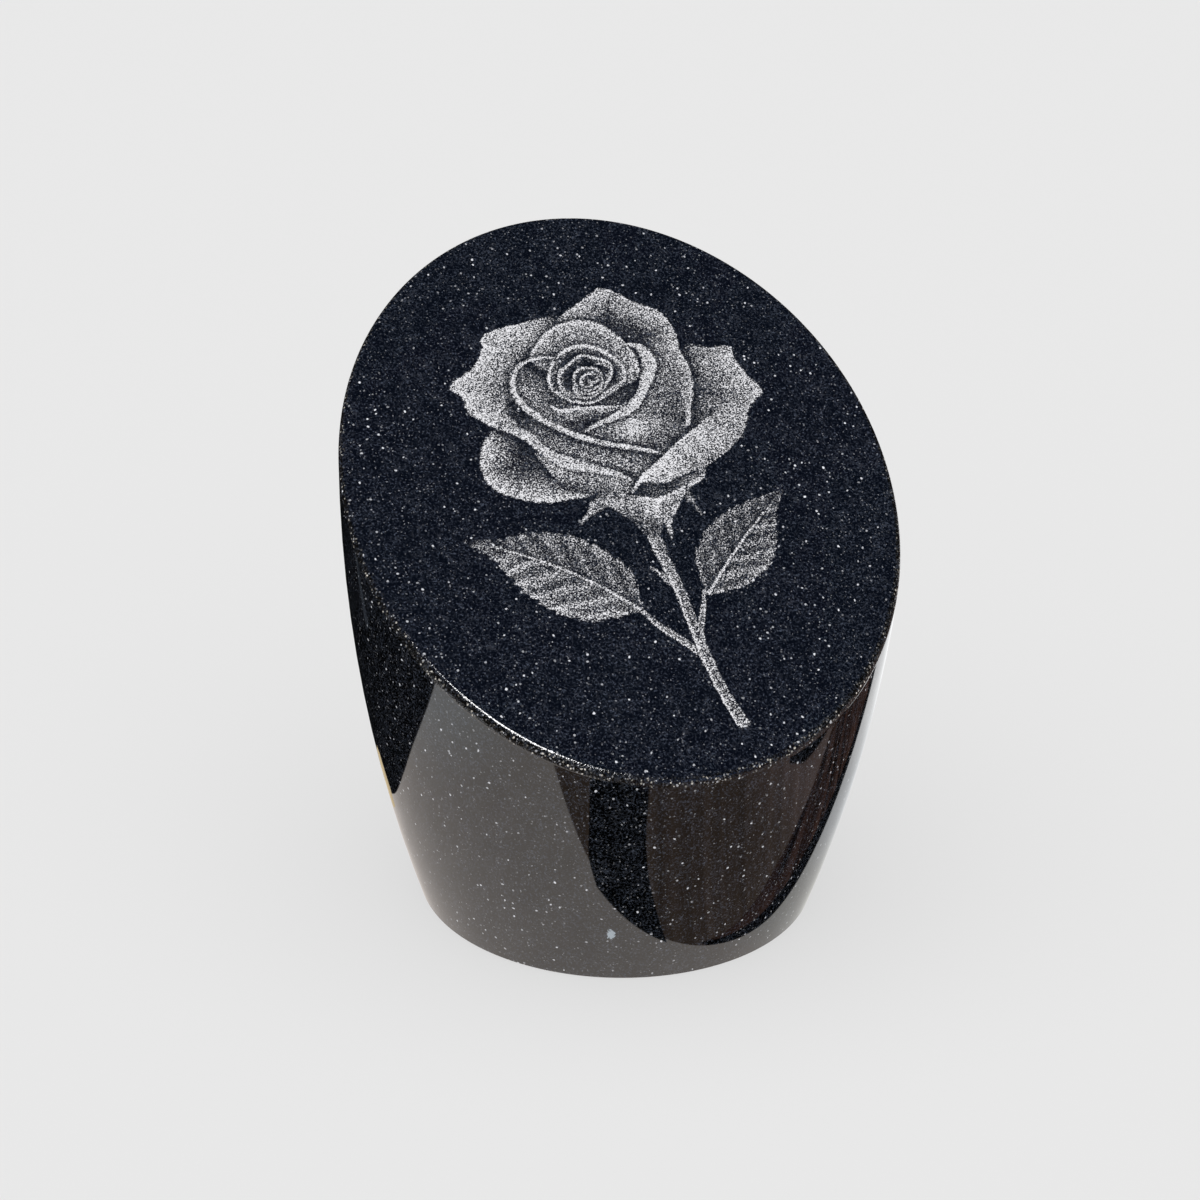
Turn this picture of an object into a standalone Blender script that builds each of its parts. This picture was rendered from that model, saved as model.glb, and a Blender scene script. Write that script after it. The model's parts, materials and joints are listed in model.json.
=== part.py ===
# Headstone: a short round pillar of polished black granite, cut off at a slant.
#
# The pillar is a turned barrel that stands on a flat foot. Its side is one shallow arc,
# widest above the middle and drawn in towards the foot. A slanted plane cuts the top into
# an oval face that looks towards -Y: high at the back (+Y), low at the front (-Y).
# The arris round the face is rounded over, and the one round the foot is eased.
# Metres, +Z up. The origin is the centre of the foot, on the ground.

import math

import bmesh
import bpy
from mathutils import Vector

# Driving sizes
BACK_HEIGHT = 0.2489          # ground to the corner of the slant and the side, at the back
FRONT_HEIGHT = 0.0958         # ground to the corner of the slant and the side, at the front
BELLY_RADIUS = 0.1084         # the widest part of the barrel
BELLY_HEIGHT = 0.1786         # ground to the widest part
FOOT_DRAWN_IN = 0.0289        # how far the foot's corner lies inside the widest part
RIM_REACH = 0.0027            # how far the rounded rim reaches over the face and down the side
FOOT_REACH = 0.0010           # how far the eased arris of the foot reaches in and up

# Fineness of the faceting
MERIDIANS = 96                # lines round the barrel
SIDE_STEPS = 15               # steps up the side, between the two rounded corners
RIM_STEPS = 5                 # steps round the rim's rounding
FOOT_STEPS = 2                # steps round the foot's arris
FACE_STEPS = 3                # steps from the rim in to the middle of the face

DOWN = Vector((0.0, 0.0, -1.0))
STONE_COLOUR = (0.0105, 0.0125, 0.0175, 1.0)


class Barrel:
    """The turned side: one circular arc, and the arcs that lie a set distance inside it."""

    def __init__(self, belly_radius, belly_height, drawn_in):
        self.belly_height = belly_height
        self.bulge = (belly_height ** 2 + drawn_in ** 2) / (2 * drawn_in)
        self.centre_offset = self.bulge - belly_radius

    def radius(self, height, inset=0.0):
        """Distance from the axis at a height, on the arc that lies inset inside the side."""
        rise = height - self.belly_height
        return math.sqrt((self.bulge - inset) ** 2 - rise ** 2) - self.centre_offset

    def point(self, angle, height, inset=0.0):
        radius = self.radius(height, inset)
        return Vector((radius * math.cos(angle), radius * math.sin(angle), height))

    def outward(self, angle, point):
        """Square to the side at a point of it, or of an arc inside it."""
        across = Vector((math.cos(angle), math.sin(angle), 0.0)) * -self.centre_offset
        arc_centre = across + Vector((0.0, 0.0, self.belly_height))
        return (point - arc_centre).normalized()


class Slant:
    """The plane of the face, through the highest corner of the side and the lowest one."""

    def __init__(self, barrel, back_height, front_height):
        back = barrel.radius(back_height)
        front = barrel.radius(front_height)
        self.slope = (back_height - front_height) / (back + front)
        self.axis_height = back_height - self.slope * back
        self.normal = Vector((0.0, -self.slope, 1.0)).normalized()

    def height(self, y, inset):
        """Height at y of the plane that lies inset below the face."""
        return self.axis_height + self.slope * y - inset / self.normal.z


class Ground:
    """The plane of the foot."""

    normal = DOWN

    def height(self, y, inset):
        return inset


def meeting_point(barrel, plane, angle, inset):
    """Where one line up the inset barrel meets the inset plane, found by stepping."""
    height = plane.height(0.0, inset)
    for _ in range(40):
        height = plane.height(barrel.radius(height, inset) * math.sin(angle), inset)
    return barrel.point(angle, height, inset)


def rounding(barrel, plane, angle, reach, steps):
    """The arc, from the side to the plane, that starts and ends a set reach from their corner."""
    corner = meeting_point(barrel, plane, angle, 0.0)
    turn = barrel.outward(angle, corner).angle(plane.normal)
    radius = reach / math.tan(turn / 2)
    centre = meeting_point(barrel, plane, angle, radius)
    start = barrel.outward(angle, centre)
    return [centre + radius * start.slerp(plane.normal, step / steps) for step in range(steps + 1)]


def side_line(barrel, slant, angle):
    """One line of points from the foot up the side and over the rim on to the face."""
    foot = rounding(barrel, Ground(), angle, FOOT_REACH, FOOT_STEPS)
    foot.reverse()
    rim = rounding(barrel, slant, angle, RIM_REACH, RIM_STEPS)
    bottom = foot[-1].z
    climb = (rim[0].z - bottom) / SIDE_STEPS
    side = [barrel.point(angle, bottom + climb * step) for step in range(1, SIDE_STEPS)]
    return foot + side + rim


def closed_loop(mesh, points):
    """A ring of edges through the points."""
    verts = [mesh.verts.new(point) for point in points]
    return [mesh.edges.new(pair) for pair in zip(verts, verts[1:] + verts[:1])]


def cap(mesh, loop):
    """Close a ring with a fan about its middle."""
    lid = bmesh.ops.contextual_create(mesh, geom=loop)["faces"]
    bmesh.ops.poke(mesh, faces=lid)


def build_stone():
    barrel = Barrel(BELLY_RADIUS, BELLY_HEIGHT, FOOT_DRAWN_IN)
    slant = Slant(barrel, BACK_HEIGHT, FRONT_HEIGHT)
    face_middle = Vector((0.0, 0.0, slant.axis_height))
    angles = [2 * math.pi * line / MERIDIANS for line in range(MERIDIANS)]
    rings = list(zip(*(side_line(barrel, slant, angle) for angle in angles)))
    rim_ring = rings[-1]
    for step in range(1, FACE_STEPS):
        rings.append([point.lerp(face_middle, step / FACE_STEPS) for point in rim_ring])

    mesh = bmesh.new()
    loops = [closed_loop(mesh, ring) for ring in rings]
    for lower, upper in zip(loops, loops[1:]):
        bmesh.ops.bridge_loops(mesh, edges=lower + upper)
    cap(mesh, loops[0])
    cap(mesh, loops[-1])
    bmesh.ops.recalc_face_normals(mesh, faces=mesh.faces)

    data = bpy.data.meshes.new("memorial_stone")
    mesh.to_mesh(data)
    mesh.free()
    data.shade_smooth()
    data.set_sharp_from_angle(angle=math.radians(30))
    data.materials.append(polished_granite())
    stone = bpy.data.objects.new("memorial_stone", data)
    bpy.context.scene.collection.objects.link(stone)


def polished_granite():
    """Near black with a little blue in it, under a high polish."""
    material = bpy.data.materials.new("polished_black_granite")
    material.use_nodes = True
    surface = material.node_tree.nodes["Principled BSDF"]
    surface.inputs["Base Color"].default_value = STONE_COLOUR
    surface.inputs["Roughness"].default_value = 0.08
    surface.inputs["Metallic"].default_value = 0.0
    return material


for old in list(bpy.data.objects):
    bpy.data.objects.remove(old)
build_stone()
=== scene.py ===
# Headstone: a short polished pillar of black granite, its slanted oval face etched with a rose.
# The solid gives the place and the size. This script makes the fine surface, the stone's finish,
# the etching, the floor, the light and the camera.
import json
import math

import bpy
import numpy as np
from mathutils import Matrix, Quaternion, Vector


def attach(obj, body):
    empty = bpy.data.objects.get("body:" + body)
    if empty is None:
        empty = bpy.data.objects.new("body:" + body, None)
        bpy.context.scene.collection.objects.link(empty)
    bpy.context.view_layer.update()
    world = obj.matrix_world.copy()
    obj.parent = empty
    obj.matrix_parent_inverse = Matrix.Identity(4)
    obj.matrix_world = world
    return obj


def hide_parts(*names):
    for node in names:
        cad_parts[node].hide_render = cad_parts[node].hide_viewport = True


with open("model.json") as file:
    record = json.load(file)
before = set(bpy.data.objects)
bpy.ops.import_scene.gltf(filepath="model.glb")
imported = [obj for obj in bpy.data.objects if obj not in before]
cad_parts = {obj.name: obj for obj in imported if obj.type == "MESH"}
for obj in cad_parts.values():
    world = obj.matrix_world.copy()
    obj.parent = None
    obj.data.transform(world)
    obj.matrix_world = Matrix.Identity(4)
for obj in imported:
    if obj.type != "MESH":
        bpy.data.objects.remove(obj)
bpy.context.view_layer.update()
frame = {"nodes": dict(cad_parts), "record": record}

mm = 0.001
print("frame loaded:", list(frame["nodes"]))


def linear(hexColour):
    # an sRGB hex colour as linear red, green and blue, and an alpha of 1
    parts = [int(hexColour[k:k + 2], 16) / 255 for k in (1, 3, 5)]
    return [c / 12.92 if c <= 0.04045 else ((c + 0.055) / 1.055) ** 2.4 for c in parts] + [1.0]


def addNode(tree, kind, settings=None, links=None):
    # adds one shader node. Settings are its own properties. Links are its inputs, by name or number,
    # each a plain value, an output, or a node, which is read at its first output in use.
    node = tree.nodes.new("ShaderNode" + kind)
    for name, value in (settings or {}).items():
        setattr(node, name, value)
    for name, value in (links or {}).items():
        named = [socket for socket in node.inputs if socket.enabled and socket.name == name]
        socket = node.inputs[name] if isinstance(name, int) else named[0]
        if isinstance(value, bpy.types.Node):
            value = next(output for output in value.outputs if output.enabled)
        if isinstance(value, bpy.types.NodeSocket):
            tree.links.new(value, socket)
        else:
            socket.default_value = value
    return node


easing = {"interpolation_type": "SMOOTHSTEP"}
ofColours = {"data_type": "RGBA"}


def newMaterial(name):
    # an empty node tree with its output
    material = bpy.data.materials.new(name)
    material.use_nodes = True
    material.node_tree.nodes.clear()
    return material, material.node_tree, addNode(material.node_tree, "OutputMaterial")


# The camera comes first: the photograph's own viewpoint, found from the pillar's outline

camera = {
    "photoSize": 1200,                          # pixels, the photograph is square
    "focalPixels": 2535.9,
    "standsAt": (-272.0, -862.4, 524.8),        # mm
    "looksAt": (-3.9, 15.9, 116.28),            # mm, the middle of the picture
    "turned": 1.04,                             # degrees about its own line of sight
}


def makeCamera():
    lens = bpy.data.cameras.new("camera")
    lens.sensor_width = 36.0
    lens.lens = lens.sensor_width * camera["focalPixels"] / camera["photoSize"]
    eye = bpy.data.objects.new("camera", lens)
    place, aim = Vector(camera["standsAt"]) * mm, Vector(camera["looksAt"]) * mm
    level = (aim - place).to_track_quat("-Z", "Y")
    eye.location = place
    eye.rotation_mode = "QUATERNION"
    eye.rotation_quaternion = level @ Quaternion((0, 0, 1), math.radians(camera["turned"]))
    bpy.context.scene.collection.objects.link(eye)
    bpy.context.scene.camera = eye


makeCamera()
print("camera placed")


# The stone's surface: a turned barrel, cut by the slanted face, both corners rounded over

faceMount = next(mount for mount in frame["record"]["mounts"] if mount["name"] == "slanted_face")

stone = {
    "bellyRadius": 108.4,        # mm, the widest part of the barrel
    "bellyHeight": 178.6,        # mm from the ground to it
    "footDrawnIn": 28.9,         # mm that the foot's corner lies inside it
    "rimReach": 2.7,             # mm that the rounded rim takes of the face and of the side
    "footReach": 1.0,            # mm that the eased foot takes of the ground and of the side
    "axisHeight": faceMount["pos_m"][2] / mm,
    "normal": np.array(faceMount["axis"]),
    "columns": 212,              # of the fine window that carries the etching
    "rows": 380,
    "supportInset": 0.8,         # mm from the rounding to the ring of faces beside it
    "rimSteps": 8,
    "sideSteps": 12,
    "footSteps": 3,
}
# the fine window's left and right bounds, mm on the face, at heights up the slope
windowHeights = (-113, -66, -40, -18, 70, 97)
windowLeft = (-2, -34, -60, -70, -70, -40)
windowRight = (40, 44, 54, 68, 70, 50)
# the side's arc: its radius, and how far beyond the axis its centre lies
bulge = (stone["bellyHeight"] ** 2 + stone["footDrawnIn"] ** 2) / (2 * stone["footDrawnIn"])
beyondAxis = bulge - stone["bellyRadius"]


def barrelRadius(height, inset=0.0):
    # radius = sqrt((bulge - inset)^2 - (height - belly height)^2) - beyondAxis
    return np.sqrt((bulge - inset) ** 2 - (height - stone["bellyHeight"]) ** 2) - beyondAxis


def onBarrel(angles, height, inset=0.0):
    # radius at that height times (cos, sin) of the angle, and the height
    radius = barrelRadius(height, inset)
    return np.stack([radius * np.cos(angles), radius * np.sin(angles), height + 0 * angles], -1)


def barrelNormal(angles, points):
    # from the arc's centre, which lies beyond the axis at belly height, to the point
    level = 0 * angles + stone["bellyHeight"]
    out = points - np.stack([-beyondAxis * np.cos(angles), -beyondAxis * np.sin(angles), level], -1)
    return out / np.linalg.norm(out, axis=-1, keepdims=True)


def faceHeight(y, inset):
    # height of the slanted plane at y, lowered square to itself by the inset
    normal = stone["normal"]
    return stone["axisHeight"] - normal[1] / normal[2] * y - inset / normal[2]


def groundHeight(y, inset):
    return inset + 0 * y


def meeting(angles, planeHeight, inset):
    # where the inset barrel meets the inset plane, found by stepping the height
    height = planeHeight(0 * angles, inset)
    for _ in range(40):
        height = planeHeight(barrelRadius(height, inset) * np.sin(angles), inset)
    return onBarrel(angles, height, inset)


def rounding(angles, planeHeight, planeNormal, reach, steps):
    # a ball rolls in the corner of side and plane. Its radius, reach / tan(turn / 2), keeps the
    # rounding's reach the same all round. The rings run from the plane to the side.
    turn = np.arccos(barrelNormal(angles, meeting(angles, planeHeight, 0.0)) @ planeNormal)
    radius = reach / np.tan(turn / 2)
    centre = meeting(angles, planeHeight, radius)
    side = barrelNormal(angles, centre)
    sweep = np.arccos(side @ planeNormal)[:, None]
    share = np.linspace(0, 1, steps + 1)[:, None, None]
    normals = (np.sin((1 - share) * sweep) * planeNormal + np.sin(share * sweep) * side) / np.sin(sweep)
    return centre + radius[:, None] * normals, normals


def faceWindow():
    # grid on the face: rows at even heights up the slope, each an even share of the way from left to right
    v = np.linspace(windowHeights[0], windowHeights[-1], stone["rows"] + 1)[:, None]
    share = np.linspace(0, 1, stone["columns"] + 1)
    left, right = np.interp(v, windowHeights, windowLeft), np.interp(v, windowHeights, windowRight)
    return left + (right - left) * share, v + 0 * share


def onFace(u, v):
    # u to the right and v up the slope, from the point where the axis pierces the face
    normal = stone["normal"]
    up = np.array([0.0, normal[2], -normal[1]])
    middle = np.array([0, 0, stone["axisHeight"]])
    return middle + np.multiply.outer(u, [1.0, 0, 0]) + np.multiply.outer(v, up)


def border(rows, columns):
    # indices of the grid's outer points, once round against the clock
    grid = np.arange((rows + 1) * (columns + 1)).reshape(rows + 1, columns + 1)
    return np.concatenate([grid[0, :-1], grid[:-1, -1], grid[-1, :0:-1], grid[:0:-1, 0]])


def bandFaces(inner, outer):
    # four-sided faces between two rings of as many points
    return np.stack([inner, outer, np.roll(outer, -1), np.roll(inner, -1)], 1)


def buildStone(tone):
    # rings of points: the window's border, then face, rim, side, foot and underside
    u, v = faceWindow()
    window = onFace(u.ravel(), v.ravel())
    edge = border(stone["rows"], stone["columns"])
    spokes = edge[::2]
    angles = np.arctan2(window[spokes, 1], window[spokes, 0])
    down = np.array([0.0, 0.0, -1.0])

    rim, rimNormals = rounding(angles, faceHeight, stone["normal"], stone["rimReach"], stone["rimSteps"])
    foot, footNormals = rounding(angles, groundHeight, down, stone["footReach"], stone["footSteps"])
    inward = window[spokes] - rim[0]
    inward /= np.linalg.norm(inward, axis=1, keepdims=True)
    support = rim[0] + inward * stone["supportInset"]
    share = np.linspace(0, 1, stone["sideSteps"] + 1)[1:-1, None]
    side = onBarrel(angles, rim[-1, :, 2] + (foot[-1, :, 2] - rim[-1, :, 2]) * share)
    sideNormals = barrelNormal(angles, side)
    under = foot[0] * [0.5, 0.5, 1.0]

    rings = np.concatenate([support[None], rim, side, foot[::-1], under[None]])
    flat, below = np.broadcast_to(stone["normal"], support.shape), np.broadcast_to(down, under.shape)
    normals = np.concatenate([flat[None], rimNormals, sideNormals, footNormals[::-1], below[None]])
    verts = np.concatenate([window, rings.reshape(-1, 3), [[0.0, 0.0, 0.0]]])
    windowNormals = np.broadcast_to(stone["normal"], window.shape)
    vertNormals = np.concatenate([windowNormals, normals.reshape(-1, 3), [down]])

    across = stone["columns"] + 1
    cell = (np.arange(stone["rows"])[:, None] * across + np.arange(stone["columns"])).ravel()
    quads = [np.stack([cell, cell + 1, cell + across + 1, cell + across], 1)]
    loops = len(window) + np.arange(rings.shape[0] * len(spokes)).reshape(rings.shape[0], -1)
    quads += [bandFaces(inner, outer) for inner, outer in zip(loops, loops[1:])]
    # the border has two edges to each edge of the ring outside it
    first, ahead = loops[0], np.roll(loops[0], -1)
    middle, last = edge[1::2], np.roll(edge, -1)[1::2]
    triangles = [np.stack([spokes, first, middle], 1), np.stack([middle, first, ahead], 1),
                 np.stack([middle, ahead, last], 1)]
    centre = np.full(len(spokes), len(verts) - 1)
    triangles.append(np.stack([loops[-1], centre, np.roll(loops[-1], -1)], 1))

    # the two rounded corners are honed by hand, and less glossy than the machine-polished faces,
    # whose polish fades out over the inner half of the rim
    honed = np.zeros(rings.shape[:2])
    honed[1:1 + stone["rimSteps"]] = smooth(np.linspace(0, 1, stone["rimSteps"] + 1), 0.0, 0.55)[:-1, None]
    honed[-1 - stone["footSteps"]:-2] = 1

    faces = [face.tolist() for block in quads + triangles for face in block]
    mesh = bpy.data.meshes.new("polished_pillar")
    mesh.from_pydata(verts * mm, [], faces)
    mesh.shade_smooth()
    mesh.normals_split_custom_set_from_vertices(vertNormals)
    for name, values in (("etch", [tone, np.zeros(len(verts) - len(tone))]),
                         ("honed", [0 * tone, honed.ravel(), [0.0]])):
        layer = mesh.attributes.new(name, "FLOAT", "POINT")
        layer.data.foreach_set("value", np.concatenate(values).astype(np.float32))
    pillar = bpy.data.objects.new("polished_pillar", mesh)
    bpy.context.scene.collection.objects.link(pillar)
    return pillar


# The etched rose, all in mm on the face. Each form lays its tone over what is already there,
# from bare polish at 0 to full frosting at 1.

rose = {
    "softEdge": 0.35,        # mm over which an etched edge fades
    "veinSpacing": 1.1,      # mm between the streaks in a petal
    "frill": 0.35,           # mm of small waves in a petal's outline
    "frillSpacing": 1.3,     # mm from one to the next
    "lip": 0.14,             # paler tone along a petal's rim
    "lipWidth": 0.7,         # mm
    "offset": (-0.4, -1.5),  # mm that the whole drawing is moved on the face
    "depth": 1.35,           # power put on the tones: above 1, the mid tones are darker
}


def smooth(x, low, high):
    t = np.clip((x - low) / (high - low), 0, 1)
    return t * t * (3 - 2 * t)


def spline(points, closed=False, steps=8):
    # smooth curve through the points: on each span, the cubic weights of four neighbours
    p = np.array(points, float)
    p = np.vstack([p[-1:], p, p[:2]]) if closed else np.vstack([2 * p[0] - p[1], p, 2 * p[-1] - p[-2]])
    a, b, c, d = p[:-3], p[1:-2], p[2:-1], p[3:]
    t = np.linspace(0, 1, steps, endpoint=False)[:, None, None]
    span = b + 0.5 * t * (c - a + t * (2 * a - 5 * b + 4 * c - d + t * (3 * b - a - 3 * c + d)))
    line = span.transpose(1, 0, 2).reshape(-1, 2)
    return np.vstack([line, line[:1]]) if closed else np.vstack([line, p[-2:-1]])


def nearest(where, line):
    # distance to the line, the length along it at the nearest place, and the side (1 on its left)
    start, step = line[:-1], np.diff(line, axis=0)
    length = np.hypot(*step.T) + 1e-9
    along = np.concatenate([[0], np.cumsum(length)[:-1]])
    offset = where[:, None] - start
    share = np.clip((offset * step).sum(2) / length ** 2, 0, 1)
    gap = ((offset - step * share[..., None]) ** 2).sum(2)
    best = gap.argmin(1)
    row = np.arange(len(where))
    cross = step[best, 0] * offset[row, best, 1] - step[best, 1] * offset[row, best, 0]
    reached = along[best] + length[best] * share[row, best]
    return np.sqrt(gap[row, best]), reached, np.where(cross >= 0, 1.0, -1.0)


def inside(where, ring):
    # even or odd count of the ring's edges crossed on the way out along +u
    a, b = ring[:-1], ring[1:]
    spans = (a[:, 1] > where[:, 1:2]) != (b[:, 1] > where[:, 1:2])
    rise = np.where(np.abs(b[:, 1] - a[:, 1]) < 1e-9, 1e-9, b[:, 1] - a[:, 1])
    cut = a[:, 0] + (where[:, 1:2] - a[:, 1]) / rise * (b[:, 0] - a[:, 0])
    return (spans & (where[:, :1] < cut)).sum(1) % 2 == 1


def ripple(s, spacing, seed):
    # smooth random streaks of a given spacing along s, from -1 to 1
    knots = np.random.default_rng(seed).uniform(-1, 1, 512)
    x = s / spacing + 17.3
    k = np.floor(x).astype(int)
    return knots[k % 512] + (knots[(k + 1) % 512] - knots[k % 512]) * smooth(x - k, 0, 1)


def near(sheet, line, margin):
    # the points of the sheet in the line's box, widened by a margin
    low, high = line.min(0) - margin, line.max(0) + margin
    return np.flatnonzero(((sheet["where"] > low) & (sheet["where"] < high)).all(1))


def petal(sheet, outline, rim, edge, heart, fade, curve=1.0, veins=0.10, cast=0.6, castWidth=2.5, seed=1,
          glow=None, melt=None):
    # a closed shape with a slightly frilled outline: its tone runs from the rim to the heart, with a
    # pale lip at the rim and streaks square to it; outside it, a soft shadow falls on what lies under it
    ring, lipLine = spline(outline, closed=True), spline(rim)
    pick = near(sheet, ring, castWidth * 2.5)
    where = sheet["where"][pick]
    dist, along, _ = nearest(where, ring)
    within = inside(where, ring)
    depth, s, _ = nearest(where, lipLine)
    frill = rose["frill"] * ripple(along, rose["frillSpacing"], seed + 21)
    reach = np.where(within, dist, -dist) + frill
    cover = smooth(reach, -rose["softEdge"], rose["softEdge"])
    if melt is not None:
        start, end = np.array(melt, float)
        share = (where - start) @ (end - start) / ((end - start) ** 2).sum()
        cover = cover * (1 - smooth(share, 0, 1))
        cast = cast * (1 - smooth(share, 0, 1))
    body = edge + (heart - edge) * np.clip(depth / fade, 0, 1) ** curve
    body = body + rose["lip"] * np.exp(-(depth / rose["lipWidth"]) ** 2)
    if glow is not None:
        gu, gv, ru, rv, amount = glow
        body = body + amount * np.exp(-((where[:, 0] - gu) / ru) ** 2 - ((where[:, 1] - gv) / rv) ** 2)
    streak = ripple(s + 0.4 * ripple(depth, 5, seed + 5), rose["veinSpacing"], seed)
    body = body * (1 + veins * streak * smooth(depth, 0, 1.5))
    body = body + veins * 0.35 * ripple(s, rose["veinSpacing"] * 5, seed + 9)
    shade = 1 - cast * np.exp(-(dist / castWidth) ** 2) * ~within
    sheet["tone"][pick] = sheet["tone"][pick] * shade * (1 - cover) + np.clip(body, 0, 1) * cover


def stroke(sheet, path, widths, tone, cast=0.0, castWidth=1.2, lean=0.0, veins=0.0, seed=3, fadeEnds=0.0,
           hollow=0.0):
    # a line of changing width: its tone leans to one side, or is hollow between pale edges,
    # and a shadow falls beside it
    line = spline(path)
    pick = near(sheet, line, max(widths) + castWidth * 2.5)
    where = sheet["where"][pick]
    dist, s, side = nearest(where, line)
    total = np.hypot(*np.diff(line, axis=0).T).sum()
    half = np.interp(s / total, np.linspace(0, 1, len(widths)), widths) / 2
    half = half * (1 + 0.12 * ripple(s, 2.1, seed + 40))
    soft = rose["softEdge"]
    cover = smooth(half - dist, -soft, soft * 0.6) * np.clip(half / soft, 0, 1)
    if fadeEnds:
        cover = cover * smooth(s, -0.01, fadeEnds) * smooth(total - s, -0.01, fadeEnds)
    across = np.clip(side * dist / (half + 1e-6), -1, 1)
    body = tone + lean * across + hollow * (across ** 2 - 0.5) + veins * ripple(s, 1.2, seed)
    shade = 1 - cast * np.exp(-(np.maximum(dist - half, 0) / castWidth) ** 2) * (dist > half)
    sheet["tone"][pick] = sheet["tone"][pick] * shade * (1 - cover) + np.clip(body, 0, 1) * cover


def leaf(sheet, base, tip, bow, leftWidths, rightWidths, tooth, pitch, bands, leftTone, rightTone, seed):
    # a serrated leaf: its midrib bows from base to tip, its half widths are given at even stations,
    # teeth lean to the tip, and bands slant from the midrib out to the margin
    base, tip = np.array(base, float), np.array(tip, float)
    run = tip - base
    ahead = run / np.hypot(*run)
    left = np.array([-ahead[1], ahead[0]])
    t = np.linspace(0, 1, 50)[:, None]
    rib = base + run * t + left * bow * 4 * t * (1 - t)
    pick = near(sheet, rib, max(leftWidths + rightWidths) + 2)
    where = sheet["where"][pick]
    dist, s, side = nearest(where, rib)
    total = np.hypot(*np.diff(rib, axis=0).T).sum()

    def swell(widths):
        flow = spline(list(zip(np.linspace(0, 1, len(widths)), widths)))
        return np.interp(s / total, flow[:, 0], flow[:, 1])

    onLeft = side > 0
    half = np.where(onLeft, swell(leftWidths), swell(rightWidths))
    reach = s - 0.35 * dist
    saw = (reach / pitch) % 1
    uneven = 0.8 + 0.4 * ripple(np.floor(reach / pitch) * 3.7, 1.0, seed)
    margin = half - tooth * (1 - saw) * smooth(half, 0.5, 5.0) * uneven
    beyond = ((where - tip) @ ahead > 0) | ((where - base) @ ahead < 0)
    cover = smooth(margin - dist, -0.3, 0.3) * ~beyond
    phase = bands * (s - 1.15 * dist) / total + 0.12 * ripple(s, 6, seed + 3)
    wave = (0.5 + 0.5 * np.cos(2 * np.pi * phase)) ** 1.2 - 0.5
    tone = np.where(onLeft, leftTone[0] + leftTone[1] * wave, rightTone[0] + rightTone[1] * wave)
    tone = tone + 0.20 * smooth(dist / np.maximum(half, 0.5), 0.6, 1.0) - 0.14 * np.exp(-(dist / 1.8) ** 2)
    tone = tone * (1 + 0.16 * ripple(phase * 7, 1.0, seed + 2))
    sheet["tone"][pick] = sheet["tone"][pick] * (1 - cover) + np.clip(tone, 0.08, 1) * cover
    stroke(sheet, rib[1:-1:6], [1.0, 0.8, 0.7, 0.5], 0.85)


def drawStem(sheet):
    stroke(sheet, [(20, -49), (18, -56), (15, -64), (14, -72)], [1.0, 1.8, 2.3, 2.2], 0.66, veins=0.10,
           lean=0.12, hollow=0.3)
    stroke(sheet, [(-6, -54), (-1, -61), (5, -67), (12, -75), (16, -84)], [1.2, 2.2, 2.6, 2.4, 1.4], 0.72,
           veins=0.10, lean=-0.10, hollow=0.35)
    stroke(sheet, [(2, -36.5), (5, -39.5), (8, -43)], [0.5, 1.6, 3.2], 0.72)
    stroke(sheet, [(6, -17), (7.5, -30), (10.5, -46), (12.5, -63), (14, -76), (16.5, -90), (20, -102),
                   (22, -108)],
           [5.2, 4.4, 4.0, 4.0, 4.2, 4.2, 4.3, 4.4], 0.66, lean=-0.20, veins=0.14, fadeEnds=3.0, cast=0.3,
           hollow=0.45)


def drawLeaves(sheet):
    leaf(sheet, (-5, -55), (-67, -17), -4.5, (0, 14, 18.8, 18.3, 14.0, 5.6, 0),
         (0, 13, 15.8, 15.7, 11.4, 3.8, 0),
         tooth=2.4, pitch=4.6, bands=7.0, leftTone=(0.43, 0.28), rightTone=(0.31, 0.17), seed=11)
    leaf(sheet, (21, -51), (63, -8), 1.5, (0, 10.5, 14, 13.7, 11, 6.0, 0), (0, 9.5, 13.5, 14.2, 10.0, 3.6, 0),
         tooth=1.8, pitch=3.9, bands=6.5, leftTone=(0.28, 0.14), rightTone=(0.38, 0.24), seed=23)


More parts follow.
